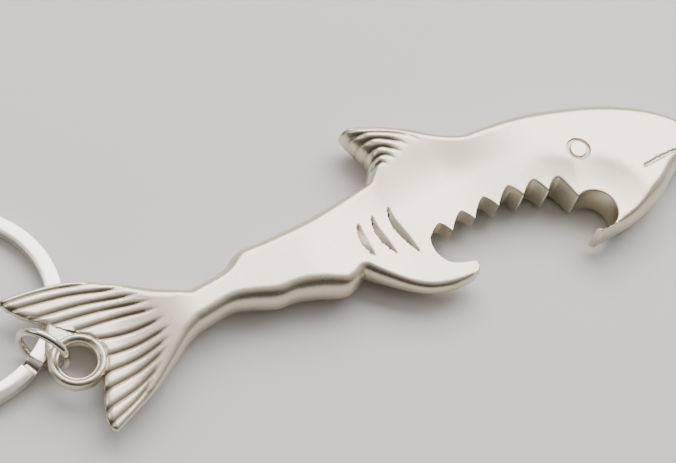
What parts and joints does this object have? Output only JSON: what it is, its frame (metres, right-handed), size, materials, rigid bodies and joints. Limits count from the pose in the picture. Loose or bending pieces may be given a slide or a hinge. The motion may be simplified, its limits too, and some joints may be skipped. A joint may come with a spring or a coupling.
{
  "type": "bottle opener keychain",
  "caption": "Shark-shaped cast pocket bottle opener with a toothed cap mouth, a tail eyelet, a jump ring and a flat split key ring.",
  "frame": {"origin": "on the flat of the casting's back, above the middle of the mouth's teeth, in the plane that the opener rests on", "axes": "+X from tail to nose, +Y towards the dorsal fin, +Z out of the side that faces up"},
  "size_m": [0.1315, 0.0422, 0.0082],
  "materials": {
    "satin_plate": "satin nickel plate on a zinc casting",
    "bright_nickel": "bright nickel plate on steel wire"
  },
  "bodies": {
    "shark_body": {"shark_body": "satin_plate"},
    "jump_ring": {"jump_ring": "bright_nickel"},
    "split_ring": {"split_ring": "bright_nickel"}
  },
  "joints": [
    {"name": "eyelet_swing", "type": "hinge", "parent": "shark_body", "child": "jump_ring", "pos_m": [-0.06639, -0.0067, 0.0037], "axis": [-0.7314, -0.682, 0], "range_deg": [0, 72]},
    {"name": "ring_roll", "type": "hinge", "parent": "jump_ring", "child": "split_ring", "pos_m": [-0.0678, -0.00517, 0.00205], "axis": [-0.6561, 0.7547, 0], "range_deg": [0, 20]}
  ]
}
